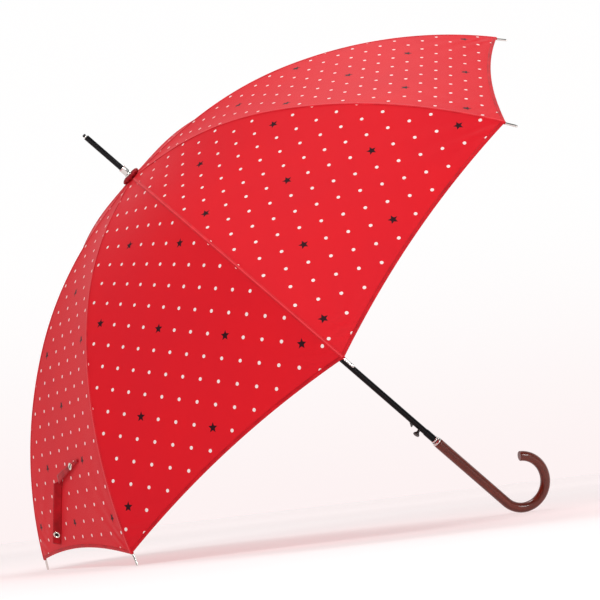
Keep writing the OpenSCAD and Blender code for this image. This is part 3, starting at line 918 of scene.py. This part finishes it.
def spike_cap():
    """The black plastic cap on the spike's end."""
    end = SPIKE_END
    cap = rounded([(0.0, end), (0.0016, end), (0.0024, end + 0.0007), (0.0025, end + 0.0024),
                   (0.0022, end + 0.0029), (0.0, end + 0.0029)], 0.0004)
    piece = lathe("spike_cap", ORIGIN, SHAFT, cap, [BLACK_PLASTIC], steps=36)
    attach(piece, "root")


rosette()
lining()
collar()
spike_ring()
spike_cap()

# ---- Handle ----

SHAFT_LEN = 0.5725
FERRULE_LEN = 0.007
CROOK_Z = SHAFT_LEN + 0.1467
CROOK_R = 0.0374
CROOK_TURN = math.radians(225.6)
CROOK_AZIMUTH = math.radians(-99.7)
HANDLE_R = 0.0072
RELEASE_AZIMUTH = 1.5 * STEP
BUTTON_Z = SHAFT_LEN - 0.026
END_ROUND = 0.0012
START_RADII = (0.0045, 0.0069)
END_SHARES = (0.55, 0.2)
GRIP_STATIONS = 36
CROOK_STATIONS = 80
END_STATIONS = 6
HANDLE_SIDES = 40


def handle_line():
    """Stations down the middle of the handle: a place, the direction there, and the length so far."""
    e = spoke(CROOK_AZIMUTH)
    top = SHAFT_LEN + FERRULE_LEN
    stations = [(np.array([0, 0, z]), SHAFT, z - top) for z in np.linspace(top, CROOK_Z, GRIP_STATIONS)]
    for t in np.linspace(0, CROOK_TURN, CROOK_STATIONS)[1:]:
        at = CROOK_R * e + np.array([0, 0, CROOK_Z]) + CROOK_R * (math.sin(t) * SHAFT - math.cos(t) * e)
        ahead = math.cos(t) * SHAFT + math.sin(t) * e
        stations.append((at, ahead, CROOK_Z - top + CROOK_R * t))
    return stations


def handle_sections():
    """The handle's stations with their radii: it is chamfered in the ferrule and rounded at its end."""
    stations = handle_line()
    sections = [(at, ahead, gone, HANDLE_R) for at, ahead, gone in stations[:-1]]
    at, ahead, gone = stations[-1]
    for q in np.linspace(0, math.pi / 2, END_STATIONS):
        back = END_ROUND * (1 - math.sin(q))
        sections.append((at - ahead * back, ahead, gone - back, HANDLE_R - END_ROUND * (1 - math.cos(q))))
    start = [sections[0][:3] + (radius,) for radius in START_RADII]
    end = [(at, ahead, gone, HANDLE_R * share) for share in END_SHARES]
    return start + sections[1:] + end


def handle():
    """The bent wooden handle: a rod swept down the grip and round the crook."""
    square = spoke(CROOK_AZIMUTH + math.pi / 2)
    sections = handle_sections()
    points, grain = [], []
    for at, ahead, gone, radius in sections:
        third = np.cross(ahead, square)
        for j in range(HANDLE_SIDES):
            q = math.tau * j / HANDLE_SIDES
            around = 1000 * HANDLE_R * (math.pi - abs(math.pi - q))
            points.append(at + radius * (math.cos(q) * square + math.sin(q) * third))
            grain.append((1000 * gone, around, 0))
    faces = grid_faces(len(sections), HANDLE_SIDES, closed=True)
    faces.append(tuple(range(len(points) - HANDLE_SIDES, len(points))))
    piece = new_piece("wooden_handle", np.array(points), faces, [WOOD], vectors={"grain_mm": grain})
    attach(piece, "root")
    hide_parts("handle_crook")


def handle_ring():
    """Two bright rings in one, where the shaft enters the handle."""
    z = SHAFT_LEN
    bright = rounded([(0.0044, z - 0.0001), (0.0054, z), (0.0059, z + 0.0005), (0.0060, z + 0.0022),
                      (0.0056, z + 0.0027), (0.0056, z + 0.0038), (0.0063, z + 0.0043), (0.0070, z + 0.0056),
                      (0.00735, z + 0.0062), (0.00735, z + 0.0072), (0.0068, z + 0.0074)], 0.0003)
    piece = lathe("handle_ring", ORIGIN, SHAFT, bright, [NICKEL])
    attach(piece, "root")
    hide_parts("handle_ferrule")


def handle_ring_groove_shade():
    """Painted shade: a black ring laid in the groove between the two bright rings, where shade falls."""
    z = SHAFT_LEN
    dark = [(0.0055, z + 0.0026), (0.00585, z + 0.0028), (0.00585, z + 0.0037), (0.0055, z + 0.0039)]
    piece = lathe("handle_ring_groove_shade", ORIGIN, SHAFT, dark, [BLACK_PLASTIC])
    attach(piece, "root")


def button():
    """The push button: a round stem that flares to a wide flat head. The flare stays out of the tube's
    hole when the button is pressed."""
    head = rounded([(0.0020, 0.0016), (0.0020, 0.0076), (0.0026, 0.0088), (0.0035, 0.0100), (0.0044, 0.0111),
                    (0.0047, 0.0120), (0.0047, 0.0130), (0.0042, 0.0134), (0.0, 0.0134)], 0.0003)
    piece = lathe("push_button", [0, 0, BUTTON_Z], spoke(RELEASE_AZIMUTH), head, [BUTTON_PLASTIC], steps=40)
    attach(piece, "release_button")
    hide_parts("release_button")


handle()
handle_ring()
handle_ring_groove_shade()
button()

# ---- Closing strap ----

STRAP_GORE = 4
STRAP_W = 0.0115
STRAP_T = 0.0014
STRAP_MIDDLE = 0.47
SNAP_STEPS = 40
CUP_STEPS = 32

# Where its parts start and end: along the rib, across the gore, and how far over the cloth.
SEWN = cloth(STRAP_GORE, 0.424, -0.4, 0.0012)
FOLDED = cloth(STRAP_GORE, 0.443, 0.14, 0.0032)
HANG = cloth(STRAP_GORE, 0.446, 0.14, 0.0049)
HANG_END = cloth(STRAP_GORE, 0.528, 0.46, 0.0050)


def strap_up():
    slope = float(slope_at(STRAP_MIDDLE))
    return math.sin(slope) * spoke(rib_azimuth(STRAP_GORE) + HALF) - np.array([0, 0, math.cos(slope)])


STRAP_UP = strap_up()
HANG_TURN = math.radians(-55)


SEWN_WIDTHS = [0.004, 0.006, 0.008, 0.0105, 0.0115]
SEWN_RISES = [-0.0006, 0.0006, 0.0012, 0.0012, 0.0006]
HANG_RISES = [0.0, 0.0006, 0.0008, 0.0004, 0.0]
RIBBON_SECTION = [(-1.0, 0.5), (-0.94, 0.95), (-0.6, 1.0), (0.0, 1.04), (0.6, 1.0), (0.94, 0.95), (1.0, 0.5),
                  (0.94, 0.05), (0.0, 0.0), (-0.94, 0.05)]


def ribbon(name, start, end, widths, rises, shear=(0.0, 0.0), turned=0.0, rows=28):
    """A folded flat band: widths and rises are its width and its height over the straight line at even
    steps, shear slants its two ends, and turned turns its face about its length."""
    ahead = unit(end - start)
    across = unit(np.cross(STRAP_UP, ahead))
    over = np.cross(ahead, across)
    side = math.cos(turned) * across + math.sin(turned) * over
    up = math.cos(turned) * over - math.sin(turned) * across
    length = float(np.linalg.norm(end - start))
    points, band = [], []
    for i in range(rows + 1):
        t = i / rows
        width = np.interp(t, np.linspace(0, 1, len(widths)), widths) / 2
        rise = np.interp(t, np.linspace(0, 1, len(rises)), rises)
        for w, h in RIBBON_SECTION:
            slant = w * between(t, shear)
            along = t * length + slant
            points.append(start + along * ahead + w * width * side + (rise + h * STRAP_T) * up)
            band.append((1000 * w * STRAP_W / 2, 1000 * along, 0))
    cols = len(RIBBON_SECTION)
    faces = grid_faces(rows + 1, cols, closed=True, flip=True)
    faces += [tuple(range(cols)), tuple(range(rows * cols + cols - 1, rows * cols - 1, -1))]
    piece = new_piece(name, np.array(points), faces, [STRAP], vectors={"band_mm": band})
    return piece, start, ahead, up, length


def snap_at(name, band, share, lifted):
    """Half a press stud, a share of the way down a band: a rolled metal ring round a dark cup."""
    _, start, ahead, up, length = band
    at = start + share * length * ahead + (STRAP_T + lifted) * up
    ring = rounded([(0.0047, -0.0002), (0.0047, 0.0006), (0.0041, 0.0012), (0.0031, 0.0012), (0.0027, 0.0006),
                    (0.0024, 0.0002)], 0.0003)
    cup = rounded([(0.0027, 0.0003), (0.0016, 0.0003), (0.0014, 0.0010), (0.0008, 0.0013), (0.0, 0.0013)],
                  0.0003)
    outer = lathe(name + "_ring", at, up, ring, [SNAP_METAL], steps=SNAP_STEPS)
    inner = lathe(name + "_cup", at, up, cup, [BLACK_STEEL], steps=CUP_STEPS)
    return outer, inner


def strap():
    """The sewn part goes with the cloth of rib 5, and the hanging part slides with the strap's body."""
    sewn = ribbon("strap_sewn", SEWN, FOLDED, SEWN_WIDTHS, SEWN_RISES)
    hanging = ribbon("strap_hanging", HANG, HANG_END, [STRAP_W, STRAP_W], HANG_RISES,
                     shear=(-0.0045, 0.0), turned=HANG_TURN)
    stud = snap_at("snap_stud", sewn, share=0.3, lifted=0.0009)
    socket = snap_at("snap_socket", hanging, share=0.84, lifted=0.0004)
    for piece in (sewn[0], *stud):
        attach(piece, "rib_outer_5")
        fold_with(piece)
    for piece in (hanging[0], *socket):
        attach(piece, "strap")
    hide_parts("strap")
    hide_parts("strap_snaps")


strap()

# ---- Materials of the CAD nodes that keep their shape ----

SLOT_MATERIALS = {
    "black_steel": BLACK_STEEL,
    "rib_steel": RIB_STEEL,
    "spring_steel": SPRING,
    "nickel": NICKEL,
    "black_plastic": BLACK_PLASTIC,
    "button_plastic": BUTTON_PLASTIC,
}


def repaint_nodes():
    slots = {s["node"]: s["material_slot"] for s in frame["record"]["subparts"]}
    for name, node in frame["nodes"].items():
        if not node.hide_render:
            node.data.materials.clear()
            node.data.materials.append(SLOT_MATERIALS[slots[name]])


repaint_nodes()

# ---- Floor and light ----

# The floor's glow near the object and far from it, and how many metres away those are.
FLOOR_GLOW = (0.5, 0.74, 0.6, 4.0)
FLOOR_REACH = 12.0
HORIZON_PINK = (0.985, 0.885, 0.885)
HORIZON_WHITE = (1.0, 0.995, 0.995)


def floor():
    mesh = bpy.data.meshes.new("floor")
    corners = [(-1, -1), (1, -1), (1, 1), (-1, 1)]
    mesh.from_pydata([(x * FLOOR_REACH, y * FLOOR_REACH, 0) for x, y in corners], [], [(0, 1, 2, 3)])
    paint = Paint("floor paper", (0.48, 0.44, 0.44), 0.75, Specular_IOR_Level=0.1)
    paint.set("Emission Color", HORIZON_PINK)
    out = paint.node("VectorMath", operation="LENGTH")
    paint.plug(out.inputs[0], paint.node("TexCoord").outputs["Object"])
    paint.set("Emission Strength", paint.ramp(out.outputs["Value"], *FLOOR_GLOW))
    paint.bump(paint.noise(300.0, 2.0), 0.0002, 0.05)
    mesh.materials.append(paint.material)
    piece = bpy.data.objects.new("floor", mesh)
    bpy.context.scene.collection.objects.link(piece)


def lamp(name, at, aim, size, power):
    data = bpy.data.lights.new(name, "AREA")
    data.shape = "DISK"
    data.size = size
    data.energy = power
    piece = bpy.data.objects.new(name, data)
    bpy.context.scene.collection.objects.link(piece)
    piece.rotation_mode = "QUATERNION"
    piece.location = at
    piece.rotation_quaternion = (Vector(aim) - Vector(at)).to_track_quat("-Z", "Y")


# The room's brightness changes smoothly: from start to end, it goes from the third number to the fourth.
BEHIND = (0.43, 0.90, 0.0)
WALL = (-0.35, 0.45, 0.2, 1.0)
CEILING = (0.35, 0.8, 1.0, 0.45)
HORIZON = (-0.03, 0.17, 1.0, 0.0)


def surroundings():
    """A pale studio: what stands behind the object is white, and the photographer's side of the room and
    the ceiling are darker, so that gloss has something to show. The backdrop itself is seen pale."""
    world = bpy.data.worlds.new("studio")
    world.use_nodes = True
    tree = world.node_tree
    background = tree.nodes["Background"]

    def node(kind, *values, **settings):
        made = tree.nodes.new("ShaderNode" + kind)
        for key, value in settings.items():
            setattr(made, key, value)
        for socket, value in zip(made.inputs, values):
            if isinstance(value, bpy.types.NodeSocket):
                tree.links.new(value, socket)
            elif value is not None:
                socket.default_value = value
        return made

    direction = node("TexCoord").outputs["Generated"]
    height = node("SeparateXYZ", direction).outputs[2]
    behind = node("VectorMath", direction, BEHIND, operation="DOT_PRODUCT").outputs["Value"]
    wall = node("MapRange", behind, *WALL, interpolation_type="SMOOTHSTEP").outputs[0]
    ceiling = node("MapRange", height, *CEILING, interpolation_type="SMOOTHSTEP").outputs[0]
    room = node("Math", wall, ceiling, operation="MULTIPLY").outputs[0]
    room = node("CombineColor", room, room, room).outputs[0]
    low = node("MapRange", height, *HORIZON, interpolation_type="SMOOTHSTEP").outputs[0]
    seen = node("Mix", data_type="RGBA")
    tree.links.new(low, seen.inputs["Factor"])
    seen.inputs[6].default_value = (*HORIZON_WHITE, 1)
    seen.inputs[7].default_value = (*HORIZON_PINK, 1)
    both = node("Mix", data_type="RGBA")
    tree.links.new(node("LightPath").outputs["Is Camera Ray"], both.inputs["Factor"])
    tree.links.new(room, both.inputs[6])
    tree.links.new(seen.outputs[2], both.inputs[7])
    tree.links.new(both.outputs[2], background.inputs["Color"])
    bpy.context.scene.world = world


floor()
surroundings()

MIDDLE = (-0.05, 0.0, 0.3)
lamp("key light", (-1.7, -1.9, 1.9), MIDDLE, 0.9, 44)
lamp("fill light", (1.2, -2.6, 1.0), MIDDLE, 0.9, 24)
lamp("top light", (0.3, 0.3, 2.6), MIDDLE, 1.2, 26)
bpy.context.scene.view_settings.view_transform = "Standard"
